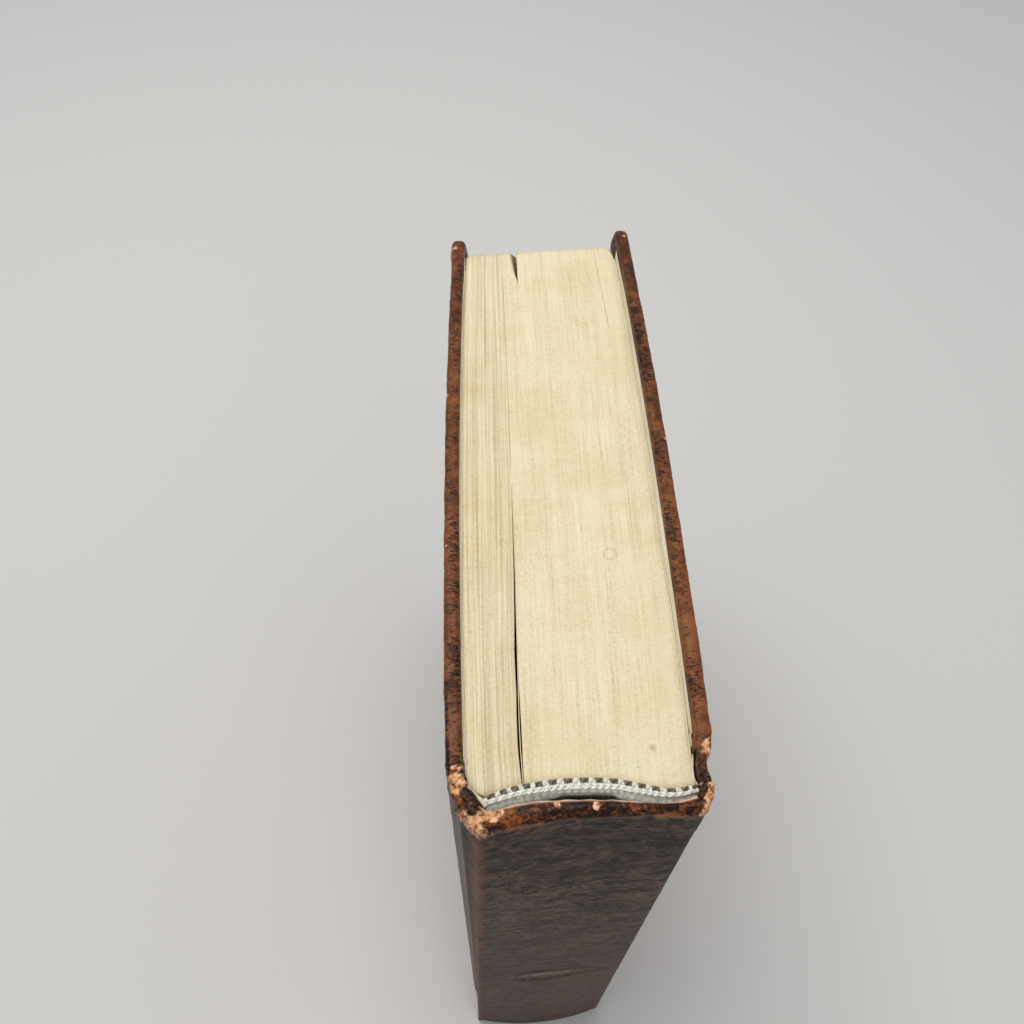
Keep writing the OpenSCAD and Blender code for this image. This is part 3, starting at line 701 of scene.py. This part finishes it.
# The stitches start over the edge of the pages
EDGEWARD = Vector((0, 0.25, 0))
dark, white = bmesh.new(), bmesh.new()
for k in range(DASHES):
    middle = (k + 0.55) / DASHES
    for thread in range(4):
        t = middle + (thread - 1.5) * 0.0088
        add_stitch(dark, band_point(t - 0.001, 52, 0.14) + EDGEWARD,
                   band_point(t + 0.001, 94, 0.14), 0.54, 0.9)
    tie = middle + 0.5 / DASHES
    for lean in (-1, 1):
        if tie < 0.99:
            add_stitch(white, band_point(tie - 0.012 * lean, 52, 0.2) + EDGEWARD,
                       band_point(tie + 0.012 * lean, 92, 0.2), 0.44)
PLAIT = 36
for k in range(PLAIT):
    t = (k + 0.4) / PLAIT
    for turn, lean in ((102, 1), (120, -1)):
        wide = 0.66 + 0.2 * wave(k * 0.9, turn)
        tilt = lean * (9 + 5 * wave(k * 1.3, turn + 5))
        add_stitch(white, band_point(t - 0.018, turn - tilt, 0.02),
                   band_point(t + 0.02, turn + tilt, 0.08), wide, 0.6)
stitches = to_object(dark, "band_dark_stitches", DARK_THREAD)
plait = to_object(white, "band_white_stitches", WHITE_THREAD)
for piece in (band, cloth, stitches, plait):
    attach(piece, "book_block")

# %% [markdown]
# Each cover is one skin of leather over a board, and the same skin runs on across the joint to the
# spine. It is modelled flat, as it is cut: a grid, whose edges are extruded round the edge of the
# board and 16 mm in on the inside, as a binder turns them in. Then it is bent to its bowed shape, and
# down into the groove of the joint. Solidify gives it thickness, thinner where it is turned in.

# %% Shape of a cover
EDGE_R = 1.25
STRIP = 14.0
CORNER_R = 4.5


def joint_line(back, z):
    """Outer line of the leather in plan, from under the spine's skin to 5 mm along the cover."""
    ear = ear_at(z)
    if back:
        low = lean_in(z)
        gx = -28.1 + low - 0.7 * ear
        sx, sy = gx + 0.2 * (RIDGE[0] - gx), -4.4 + 0.2 * (RIDGE[1] + 4.4)
        return [(sx + 2.3, sy - 2.6), (sx + 1.3, sy - 0.6), (sx, sy), (gx + 0.1, -4.4), (gx - 0.1, -3.1),
                (-28.9 + low, -2.1), (-29.6 + low, -0.6), (-29.85 + low, 1.85)]
    return [(25.9, -7.4), (27.2, -5.3), (28.25, -3.5), (27.8, -1.3), (27.6, 0.8), (27.9, 2.3),
            (28.85, 3.4), (29.78, 8.15)]


def cover_point(back, a, b, n):
    """A point of a cover: a along it, b up it and n out of its face, or into it where negative."""
    ear = ear_at(b)
    thin = 2.2 + 1.5 * ear if back else 1.9 + 0.2 * ear
    thick = thin + (COVER_T - thin) * smooth((a + 1.0) / 4.5)
    if not back:
        # The front board is pared towards its joint
        thick -= 0.15 * (1 - smooth((a - 8) / 50)) * smooth((a + 1.0) / 4.5)
    # A corner is knocked round, and swollen where the leather is folded over itself
    up = b > BOOK_H / 2
    past, high = a - (COVER_D - CORNER_R), (b if up else BOOK_H - b) - (BOOK_H - CORNER_R)
    if past > 0 and high > 0:
        pull = 1 - 0.6 * (1 - 1 / math.sqrt(1 + (min(past, high) / max(past, high)) ** 2))
        a, high = COVER_D - CORNER_R + past * pull, high * pull
        b = BOOK_H - CORNER_R + high if up else CORNER_R - high
    swollen = (0.5 if up else 0.3) * math.exp(-((a - 187.8) / 3.0) ** 2 - (high + 2.0) ** 2 / 20)
    n = -thick / 2 + (n / COVER_T + 0.5) * thick * (1 + swollen)
    if a >= 5:
        ang = (a - COVER_D / 2) / BOW_R
        p = (BOW_X + (BOW_R + n) * math.cos(ang), BOW_Y + (BOW_R + n) * math.sin(ang), b)
        return leaned(*p) if back else p
    line, t = joint_line(back, b), (a + STRIP) / (STRIP + 5)
    (x, y), (x0, y0), (x1, y1) = along(line, t), along(line, t - 0.01), along(line, t + 0.01)
    nx, ny = (y0 - y1, x1 - x0) if back else (y1 - y0, x0 - x1)
    size = math.hypot(nx, ny)
    return (x + n * nx / size, y + n * ny / size, b)


# %% [markdown]
# Wear isn't even. Corners, the ends of the joints and the torn corner of the spine have lost their
# surface, and it is gone at a few knocks along the edges. Each of these is a centre and a radius in
# millimetres, as seen in the photo, and a vertex takes the strongest of those near it.

# %% Where the leather is rubbed bare
BARE = {
    "front": [((28.0, 4.4, 234.6), 1.8), ((28.7, 5.9, 234.5), 1.3), ((28.0, 3.2, 234.0), 1.2),
              ((31.0, 96, 235), 0.9), ((30.8, 41, 235), 0.8), ((29.3, 189, 233.5), 1.0),
              ((28.4, 188, 235), 0.7), ((28.8, 186, 1), 3), ((29.6, 60, 0), 1.0)],
    "back": [((-28.6, -1.9, 234.9), 1.7), ((-27.0, -2.0, 234.9), 1.8), ((-27.4, -3.9, 234.8), 1.7),
             ((-29.0, -3.0, 233.4), 1.4), ((-26.0, -2.4, 234.8), 1.2), ((-27.8, 0.3, 234.9), 1.25),
             ((-26.3, 1.0, 234.9), 0.9), ((-27.1, -6.4, 234.6), 0.9), ((-31.0, 113, 234.6), 0.9),
             ((-31.1, 127, 235), 0.7), ((-31, 92, 235), 0.7), ((-29.0, 181.5, 234.6), 1.2),
             ((-30.6, 60, 235), 0.5), ((-24, 183, 1), 3)],
    "spine": [((-6.1, -7.5, 234.6), 1.05), ((2.5, -8.1, 234.6), 1.1), ((-21.2, -9.6, 234.5), 1.6),
              ((-19.6, -9.6, 234.3), 1.8), ((-18.2, -9.2, 234.3), 1.1), ((-25.9, -9.4, 234), 1.4),
              ((-24.8, -10.6, 233.6), 1.7), ((-23.2, -11.7, 233.2), 1.9), ((-22.0, -12.6, 232.8), 1.6),
              ((-22.4, -10.2, 234.4), 1.5),
              ((27.6, -4.2, 234.8), 1.5), ((27.4, -5.6, 234.6), 1.7), ((26.9, -7.0, 234.4), 1.6),
              ((26.2, -8.6, 234), 1.6), ((25.5, -10.0, 233.6), 1.4), ((28.4, -4.6, 233), 1.5),
              ((28.0, -6.2, 232.6), 1.5), ((26.9, -8.6, 232), 1.3), ((26.2, -6.0, 234.9), 1.1)],
}


def bareness(spots, x, y, z):
    """How bare the leather is at a point: that of the strongest of the spots near it."""
    most = 0.0
    for (cx, cy, cz), r in spots:
        d = math.sqrt((x - cx) ** 2 + (y - cy) ** 2 + 0.5 * (z - cz) ** 2) / r
        most = max(most, 0.72 * smooth(1.5 - d))
    return most


def stain_at(x, y, z, inner, joint):
    """Stain gathers in patches along the inner side of the board's edge; painted shade darkens the joint,
    and the outer side of the back board at the head near the joint.
    """
    patches = 0.5 + 0.9 * wave(y / 13, z / 25, 4.0 if x > 0 else 11.0)
    # Painted shade on the outer side of the back board, at the head near the joint
    rim = 0.9 * smooth((0.35 - inner) / 0.25) * smooth((30 - y) / 25) * (x < 0)
    return min(1.0, max(0.0, 0.75 * inner * patches) + joint + rim * smooth((z - 220) / 10))


# %% Build a cover's leather
def lay_cover():
    """The flat skin: its grid, then each step round the edge of the board and in."""
    bm = flat_grid(236, 96)
    half = BOOK_H / 2
    for v in bm.verts:
        u, s = v.co.x + 0.5, 2 * v.co.y
        # Columns crowd in the joint and rows at the head and tail, where the leather bends most
        a = -STRIP + 22 * u / 0.16 if u < 0.16 else 8 + (COVER_D - EDGE_R - 8) * (u - 0.16) / 0.84
        v.co = (a, half + (half - EDGE_R) * (1.35 * s - 0.35 * s ** 3), 0)
    arc = [(EDGE_R * (math.sin(b) - math.sin(a)), EDGE_R * (math.cos(b) - math.cos(a)))
           for a, b in ((i * math.pi / 6, (i + 1) * math.pi / 6) for i in range(3))]
    steps = arc + [(0, -(COVER_T - 2 * EDGE_R) / 2)] * 2 + [(-out, n) for out, n in reversed(arc)]
    turned_in = [(-0.8, 0), (-2.5, 0), (-4, 0), (-4, 0), (-3.4, 0)]
    thickness = bm.verts.layers.deform.verify()
    for v in bm.verts:
        v[thickness][0] = 1.0
    rim = [e for e in bm.edges if e.is_boundary and not all(v.co.x < -STRIP + 0.01 for v in e.verts)]
    reach = EDGE_R
    for number, (out, n) in enumerate(steps + turned_in):
        made = bmesh.ops.extrude_edge_only(bm, edges=rim)["geom"]
        rim = [g for g in made if isinstance(g, bmesh.types.BMEdge)]
        for v in (g for g in made if isinstance(g, bmesh.types.BMVert)):
            far, top, low = (v.co.x > COVER_D - reach - 0.001, v.co.y > BOOK_H - reach - 0.001,
                             v.co.y < reach + 0.001)
            v.co += Vector((out * far, out * (top - low), n))
            v.co.x = min(v.co.x, COVER_D - reach + out)
            v[thickness][0] = 1.0 if number < len(steps) else 0.3
        reach -= out
    return bm


def build_cover(back):
    name = "back" if back else "front"
    bm = lay_cover()
    worn, stain = bm.verts.layers.float.new("worn"), bm.verts.layers.float.new("stain")
    thickness = bm.verts.layers.deform.verify()
    for v in bm.verts:
        a, b, n = v.co
        v.co = cover_point(back, a, b, n)
        # The leather is pared thin where it bends in the joint
        v[thickness][0] *= 0.15 + 0.85 * smooth((a - 3) / 5)
        joint = smooth((4 - a) / 4)
        # Painted shade darkens the joint, most below the head
        v[stain] = stain_at(*v.co, smooth(-n / 2.6), 0.7 * joint * smooth((229 - b) / 10) + 0.25 * joint)
    bmesh.ops.remove_doubles(bm, verts=bm.verts, dist=0.004)
    bmesh.ops.recalc_face_normals(bm, faces=bm.faces)
    side = -1 if back else 1
    turn_out(bm, Vector((side, 0, 0)))
    moves = []
    for v in bm.verts:
        x, y, z = v.co
        edge = min(1.0, smooth((z - 228) / 5) + smooth((6 - z) / 5) + smooth((y - 184) / 5))
        lump = 0.06 * wave(x / 3, y / 3, z / 3) + 0.08 * wave(x / 9, y / 9, z / 9 + 4)
        lump += edge * (0.1 * wave(x / 1.5, y / 0.9, z / 1.5 + 9) + 0.16 * wave(x / 4, y / 5, z / 4 + 7))
        joint = smooth((5.5 - y) / 5) * smooth((z - 205) / 25)
        lump += joint * (0.2 * wave(x / 2.2, y / 2.2, z / 5) + 0.3 * wave((x - y) / 1.1, (x + y) / 4, z / 3))
        inside = y > 3.6 and x * side < HALF_T - 3 - (lean_in(z) if back else 0)
        v[worn] = bareness(BARE[name], x, y, z)
        moves.append((v, v.normal * lump * (0.15 if inside else 1.0)))
    push(moves)
    piece = to_object(bm, name + "_cover_leather", COVER_CALF, flip=False)
    piece.vertex_groups.new(name="full")
    add_skin(piece, 0.75, "full")
    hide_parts(name + "_leather")
    return piece


front_cover = build_cover(False)
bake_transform(front_cover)
back_cover = build_cover(True)
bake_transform(back_cover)

# %% [markdown]
# The skin of the spine is a grid too. Its columns follow a line in plan from joint to joint, and its
# rows run up the outside, roll over the headcap, and come down on the inside as the turned-in leather.
# The plan changes with height: hollow at the head, flat in the middle and bulged at the tail, with one
# shallow crease. A table gives the inner lip of the headcap, as measured from the photo.

# %% Plan of the spine at a height
FACE_X = (-20.5, -17.5, -14, -10, -5, 0, 5, 10, 14.5, 18, 21, 23.4)
HEAD_LIP = [(-26.5, -4.1), (-24.8, -4.15), (-23.3, -5.4), (-22.4, -6.5), (-21.5, -7.4), (-20.6, -8.0),
            (-18.9, -7.7), (-16.8, -7.2), (-14, -6.7), (-10.4, -6.3), (-5, -6.1), (0, -6.1), (5, -6.3),
            (9, -6.65), (13.9, -7.15), (17.4, -7.35), (19.8, -7.1), (22.2, -6.5), (23.8, -6.0),
            (24.9, -5.5), (25.4, -4.9), (25.5, -4.1), (25.3, -3.2)]
SKIN_T = 1.6
ROLL_H = 2.2
# One dent with a raised rim: middle x and z, half its length, half its height, and its slope
DENT = (4.0, 82.0, 18.5, 4.4, 0.08)


def spine_line(z):
    ear = ear_at(z)
    gx, gy = -28.1 + lean_in(z) - 0.7 * ear, -4.25
    span = (RIDGE[0] - gx, RIDGE[1] - gy)
    size = math.hypot(*span)
    points = [(gx + k * span[0] + out * span[1] / size, gy + k * span[1] - out * span[0] / size)
              for k, out in ((0.13, -0.1), (0.42, 0.9 * ear), (0.76, 1.0 * ear), (0.93, 0.25 * ear))]
    points += [(RIDGE[0] + 0.25, RIDGE[1] - 0.1 - 0.3 * ear), (RIDGE[0] + 1.1, RIDGE[1] - 0.05)]
    for x in FACE_X:
        flat = RIDGE[1] + (x - RIDGE[0]) * (CORNER[1] - RIDGE[1]) / (CORNER[0] - RIDGE[0])
        across = max(0.0, 1 - ((x - 1.35) / 23.2) ** 2)
        bulge = max(0.0, 3 * across - 3 * z / 84)
        points.append((x, flat - bulge + 1.5 * across * smooth((z - 150) / 80)))
    swell = 0.35 * smooth((z - 215) / 18)
    return points + [(CORNER[0] - 0.7, CORNER[1] + 0.12), (CORNER[0] + 0.3 + swell, CORNER[1] + 0.8),
                     (27.25 + 1.4 * swell, -6.9), (28.3 + swell, -4.9), (28.62 + swell, -3.5)]


def dent(x, z):
    """How far the skin stands in or out: sunk inside the dent, raised along its rim."""
    cx, cz, half, tall, slope = DENT
    s = (x - cx) / half
    if abs(s) >= 1:
        return 0.0
    # Widest left of its middle, and drawn out to a point on the right
    tall *= (1 - s * s) ** 0.6 * (1 - 0.45 * s)
    d = abs(z - cz - slope * (x - cx)) / max(tall, 0.3)
    sunk, rim = smooth((1.15 - d) / 0.55), math.exp(-((d - 1.25) / 0.2) ** 2)
    return (-0.85 * sunk + 0.45 * rim) * (1 - s * s) ** 0.4


def spine_rows():
    """One row each: kind, height, and turn through a roll, from inside the tail to inside the head."""
    rows = [("tail_in", z, 0) for z in (16, 12, 8, 5)]
    rows += [("tail_roll", ROLL_H, math.pi * (1 - k / 9)) for k in range(10)]
    z = ROLL_H + 0.8
    while z < BOOK_H - ROLL_H:
        rows.append(("face", z, 0))
        z += 1.6 if z < 68 else 0.9 if z < 100 else 1.4 if z < 170 else 0.85
    rows += [("head_roll", BOOK_H - ROLL_H, math.pi * k / 18) for k in range(19)]
    return rows + [("head_in", z, 0) for z in (231.3, 229.5, 227, 223, 219)]


def spine_point(t, row):
    kind, z, turn = row
    line = spine_line(z)
    (x, y), (x0, y0), (x1, y1) = along(line, t), along(line, t - 0.004), along(line, t + 0.004)
    if kind == "face":
        return (x, y, z)
    size = math.hypot(x1 - x0, y1 - y0)
    nx, ny = (y0 - y1) / size, (x1 - x0) / size
    lip = along(HEAD_LIP, t) if kind.startswith("head") else (x + 3.2 * nx, y + 3.2 * ny)
    if kind.endswith("_in"):
        far = smooth((z - 224) / 8) if kind == "head_in" else smooth((8 - z) / 6)
        inner = (x + SKIN_T * nx, y + SKIN_T * ny)
        return (inner[0] + (lip[0] - inner[0]) * far, inner[1] + (lip[1] - inner[1]) * far, z)
    across = (1 - math.cos(turn)) / 2
    lift = math.sin(turn) * ROLL_H * (1 if kind == "head_roll" else -1)
    return (x + (lip[0] - x) * across, y + (lip[1] - y) * across, z + lift)


# %% Build the spine
def build_spine():
    rows = spine_rows()
    bm = flat_grid(176, len(rows) - 1)
    names = ("worn", "cap", "ridge_highlight", "stain", "dent_sheen", "lip")
    worn, cap, ridge_highlight, stain, dent_sheen, lip = (bm.verts.layers.float.new(name) for name in names)
    spots = []
    for v in bm.verts:
        # Columns crowd on the torn side
        t, row = (v.co.x + 0.5) ** 1.25, rows[round((v.co.y + 0.5) * (len(rows) - 1))]
        v.co = spine_point(t, row)
        spots.append((v, row))
    bm.normal_update()
    turn_out(bm, Vector((0, -1, 0)))
    moves = []
    for v, (kind, _, turn) in spots:
        x, y, z = v.co
        near_head = smooth((z - 200) / 34)
        lump = 0.16 * wave(x / 14, z / 3.4, 2) + (0.06 + 0.12 * near_head) * wave(x / 7, z / 1.7, 6)
        lump += smooth((z - 226) / 8) * (0.2 * wave(x / 2.6, y / 2, z / 2) + 0.1 * wave(x / 1.1, y / 1.1, z))
        if kind == "face" and abs(x) < 21:
            lump += dent(x, z)
            # Painted sheen lightens and greys the sunk dent; its raised rim is darker
            v[dent_sheen] = min(0.9, max(0.0, -1.3 * dent(x, z)))
            v[stain] = max(0.0, 1.5 * dent(x, z))
        # The corner at the back cover is crushed into folds that run down to the ridge
        crushed = math.exp(-((x + 25.2) / 2.7) ** 4 - ((y + 8.0) / 3.8) ** 4) * smooth((z - 225) / 8)
        creases = 0.9 * wave((x - y) / 0.75, (x + y) / 4.5, z / 2.5) + 0.35 * wave(x / 0.6, y / 0.8, z)
        lump += crushed * creases
        folded = math.exp(-((x - 27.0) / 1.8) ** 2 - ((y + 6.6) / 3.0) ** 2) * smooth((z - 227) / 6)
        lump += folded * 0.4 * wave((x - y) / 1.3, (x + y) / 5, z / 4)
        if not kind.endswith("_in"):
            moves.append((v, v.normal * lump))
        v[worn] = bareness(BARE["spine"], x, y, z)
        v[cap] = smooth((z - 229.4 + 1.5 * wave(x / 3, 4) + 1.3 * wave(x / 9, 8)) / 4.6)
        # A painted highlight along the left ridge of the spine, stronger and weaker up it
        glow = 0.8 + 0.5 * wave(z / 8, 5)
        v[ridge_highlight] = 0.7 * math.exp(-((x - RIDGE[0] + 0.2) / 1.6) ** 2) * glow * (y < -9)
        # A painted highlight along the inner lip of the headcap
        wear_and_lip_highlight = max(0.7, 0.95 + 0.6 * wave(x / 2.5, 3))
        v[lip] = math.exp(-((turn - 2.5) / 0.24) ** 2) * wear_and_lip_highlight * (kind == "head_roll")
        # Painted shade darkens the crushed folds and the hollow of the groove at the back cover, and the
        # face is darker just below the headcap
        hollow = 0.75 * smooth((-23.6 - x + lean_in(z)) / 1.2) * (kind == "face")
        v[stain] += 0.9 * crushed + 0.25 * smooth((z - 222) / 6) * (kind == "face") + hollow
    push(moves)
    piece = to_object(bm, "spine_skin", SPINE_CALF, flip=False)
    add_skin(piece, 0.7)
    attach(piece, "book_block")
    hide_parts("spine_leather")


build_spine()

# %% [markdown]
# Inside the spine lies a strip of card, between the skin and its turned-in ends. It follows the skin, so
# it is made from the same line in plan, a little further in.

# %% Build the card in the spine
bm = flat_grid(60, 60)
for v in bm.verts:
    z = 4 + (v.co.y + 0.5) * 227
    x, y = along(spine_line(z), 0.25 + (v.co.x + 0.5) * 0.5)
    v.co = (x, y + 1.0, z)
card = to_object(bm, "spine_card", MILLBOARD)
add_skin(card, 0.5)
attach(card, "book_block")
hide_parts("spine_stiffener")

# %% [markdown]
# At the torn corner the leather has frayed into pale fibres. They are fine tubes of three sides, each
# extruded along a short curl. Real fibres are finer than these, which are drawn 0.09 mm thick so that they
# show.

# %% Build the torn fibres
FRAY = [(-26.2, -8.2, 234.4), (-25.2, -9.5, 234.2), (-24.1, -10.8, 233.8), (-23.0, -11.9, 233.4),
        (-21.8, -12.5, 233.0), (-20.2, -12.2, 232.9)]
FIBRE_COUNT, FIBRE_STEPS = 190, 7
bm = bmesh.new()
for k in range(FIBRE_COUNT):
    root = Vector(along(FRAY, k / FIBRE_COUNT))
    root += Vector((0.5 * wave(k * 1.7, 1), 0.4 + 0.5 * wave(k * 2.3, 2), 1.3 * wave(k * 1.3, 3) + 0.3))
    heading = Vector((-0.2 + 1.1 * wave(k * 0.9, 4), -0.5 + 0.5 * wave(k * 1.9, 5), 0.9 * wave(k * 2.7, 6)))
    ring = bmesh.ops.create_circle(bm, segments=3, radius=0.045, matrix=Matrix.Translation(root))["verts"]
    edges = list({e for v in ring for e in v.link_edges})
    step = 0.26 + 0.16 * wave(k * 3.1, 7)
    for n in range(FIBRE_STEPS):
        made = bmesh.ops.extrude_edge_only(bm, edges=edges)["geom"]
        edges = [g for g in made if isinstance(g, bmesh.types.BMEdge)]
        heading += Vector((0.9 * wave(k, n, 1), 0.6 * wave(k, n, 2), 0.9 * wave(k, n, 3) - 0.15))
        bmesh.ops.translate(bm, vec=heading.normalized() * step,
                            verts=[g for g in made if isinstance(g, bmesh.types.BMVert)])
bmesh.ops.holes_fill(bm, edges=[e for e in bm.edges if e.is_boundary], sides=3)
fibres = to_object(bm, "torn_fibres", FIBRES)
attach(fibres, "book_block")

# %% [markdown]
# The pastedown is the half of the endpaper that is glued to the board. It covers the turned-in leather
# nearly to the head, so its edge shows as a thin pale line along the inner side of the board.

# %% Build the pastedowns
def build_pastedown(back):
    name = "back" if back else "front"
    bm = flat_grid(60, 40)
    for v in bm.verts:
        a, b = 6 + (v.co.x + 0.5) * 175, 1.2 + (v.co.y + 0.5) * (232.4 if back else 230.8)
        near_corner = smooth((a - 160) / 12) * (smooth((20 - b) / 8) + smooth((b - 213) / 8))
        # Where the front board is pared, the sheet lies over the flap of cloth
        flap = 0
        if not back:
            flap = 0.18 * (1 - smooth((a - 8) / 50)) * smooth((b - 8) / 10) * smooth((227 - b) / 10)
        v.co = cover_point(back, a, b, -COVER_T - 0.05 - 0.16 * near_corner - flap)
    piece = to_object(bm, name + "_pastedown_sheet", ENDPAPER)
    add_skin(piece, 0.16)
    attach(piece, name + "_cover")
    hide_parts(name + "_pastedown")


build_pastedown(False)
build_pastedown(True)

# %% [markdown]
# At the back cover the lining paper is folded round the corner of the pages, under the end of the band.

# %% Build the folded corner
CORNER_FOLD = [(-26.1, 0.4), (-25.85, -1.25), (-25.15, -2.4), (-24.05, -3.45), (-22.95, -4.4),
               (-21.8, -5.4), (-20.95, -6.45)]
bm = flat_grid(36, 12)
for v in bm.verts:
    x, y = along(CORNER_FOLD, v.co.x + 0.5)
    z = 216 + (v.co.y + 0.5) * 16.2 + 0.15 * wave(x, y)
    v.co = (x + lean_in(z) - 0.1, y - 0.3, z)
fold = to_object(bm, "folded_corner_paper", ENDPAPER)
add_skin(fold, 1.0).offset = 0
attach(fold, "book_block")

# %% [markdown]
# Inside each joint the endpaper runs across from the pastedown to the pages. It is one folded sheet, drawn
# along a fixed line beside the pages.

# %% Build the paper hinges
FRONT_HINGE = [(25.76, 9.4), (25.72, 7.2), (25.66, 5.2), (25.5, 3.2), (25.2, 1.2), (25.15, -1.1),
               (25.7, -2.6), (25.9, -3.4)]
BACK_HINGE = [(25.72, 9.6), (25.68, 7.4), (25.6, 5.4), (25.4, 3.4), (25.1, 1.7), (24.8, 0.4), (24.3, -0.7),
              (23.6, -1.6)]


def build_hinge(back):
    name = "back" if back else "front"
    bm = flat_grid(26, 20)
    for v in bm.verts:
        x, y = along(BACK_HINGE if back else FRONT_HINGE, v.co.x + 0.5)
        # At the head of the back joint the thick folded leather takes the place of the sheet
        top = 231.4 - (17 * smooth((v.co.x + 0.08) / 0.25) if back else 0)
        z = 4.2 + (v.co.y + 0.5) * (top - 4.2)
        v.co = leaned(x, y, z) if back else (x, y, z)
    piece = to_object(bm, name + "_paper_hinge", ENDPAPER)
    add_skin(piece, 0.14)
    x, y0, y1 = (-0.0278, -7.6, -2.2) if back else (0.0274, -1.6, 4.0)
    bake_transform(piece)


build_hinge(False)
build_hinge(True)

# %% [markdown]
# The book stands on a pale floor under a broad soft lamp, with a weaker one before the spine and a little
# light from all round. The levels are set so that a colour renders about as it is written. The camera
# looks steeply down on the head from the side of the spine, as the photograph does.

# %% Floor, light and camera
floor_bm = flat_grid(2, 2, 2500)
floor_paint, _, floor_bsdf = new_material("matt_floor", Roughness=0.9)
floor_bsdf.inputs["Base Color"].default_value = hexed("#d6d7d8")
floor = to_object(floor_bm, "floor", floor_paint)

world = bpy.data.worlds.new("studio")
scene.world = world
world.use_nodes = True
sky = world.node_tree.nodes["Background"]
sky.inputs["Color"].default_value = hexed("#f4f5f7")
sky.inputs["Strength"].default_value = 0.42


def add_lamp(name, place, target, size, power, tint):
    data = bpy.data.lights.new(name, "AREA")
    data.shape = "DISK"
    data.size = size
    data.energy = power
    data.color = hexed(tint)[:3]
    lamp = bpy.data.objects.new(name, data)
    lamp.location = place
    lamp.rotation_euler = (Vector(target) - Vector(place)).to_track_quat("-Z", "Y").to_euler()
    scene.collection.objects.link(lamp)


add_lamp("overhead_softbox", (-0.25, 0.35, 1.5), (0, 0, 0.15), 1.1, 14, "#fffaf2")
add_lamp("front_fill", (0.35, -1.1, 0.9), (0, 0, 0.12), 0.9, 2.5, "#fff6ee")

camera_data = bpy.data.cameras.new("photo_view")
# Focal length and width of the picture in pixels, as fitted to the photo, and width of the sensor in mm
FOCAL, PICTURE_W, SENSOR_W = 925.98, 1024, 36
camera_data.sensor_width = SENSOR_W
camera_data.lens = FOCAL / PICTURE_W * SENSOR_W
camera = bpy.data.objects.new("photo_view", camera_data)
camera.location = (-0.0230794, -0.1658134, 0.4285473)
camera.rotation_euler = (0.6497, -0.0283, -0.0296)
scene.collection.objects.link(camera)
scene.camera = camera
scene.view_settings.view_transform = "Standard"
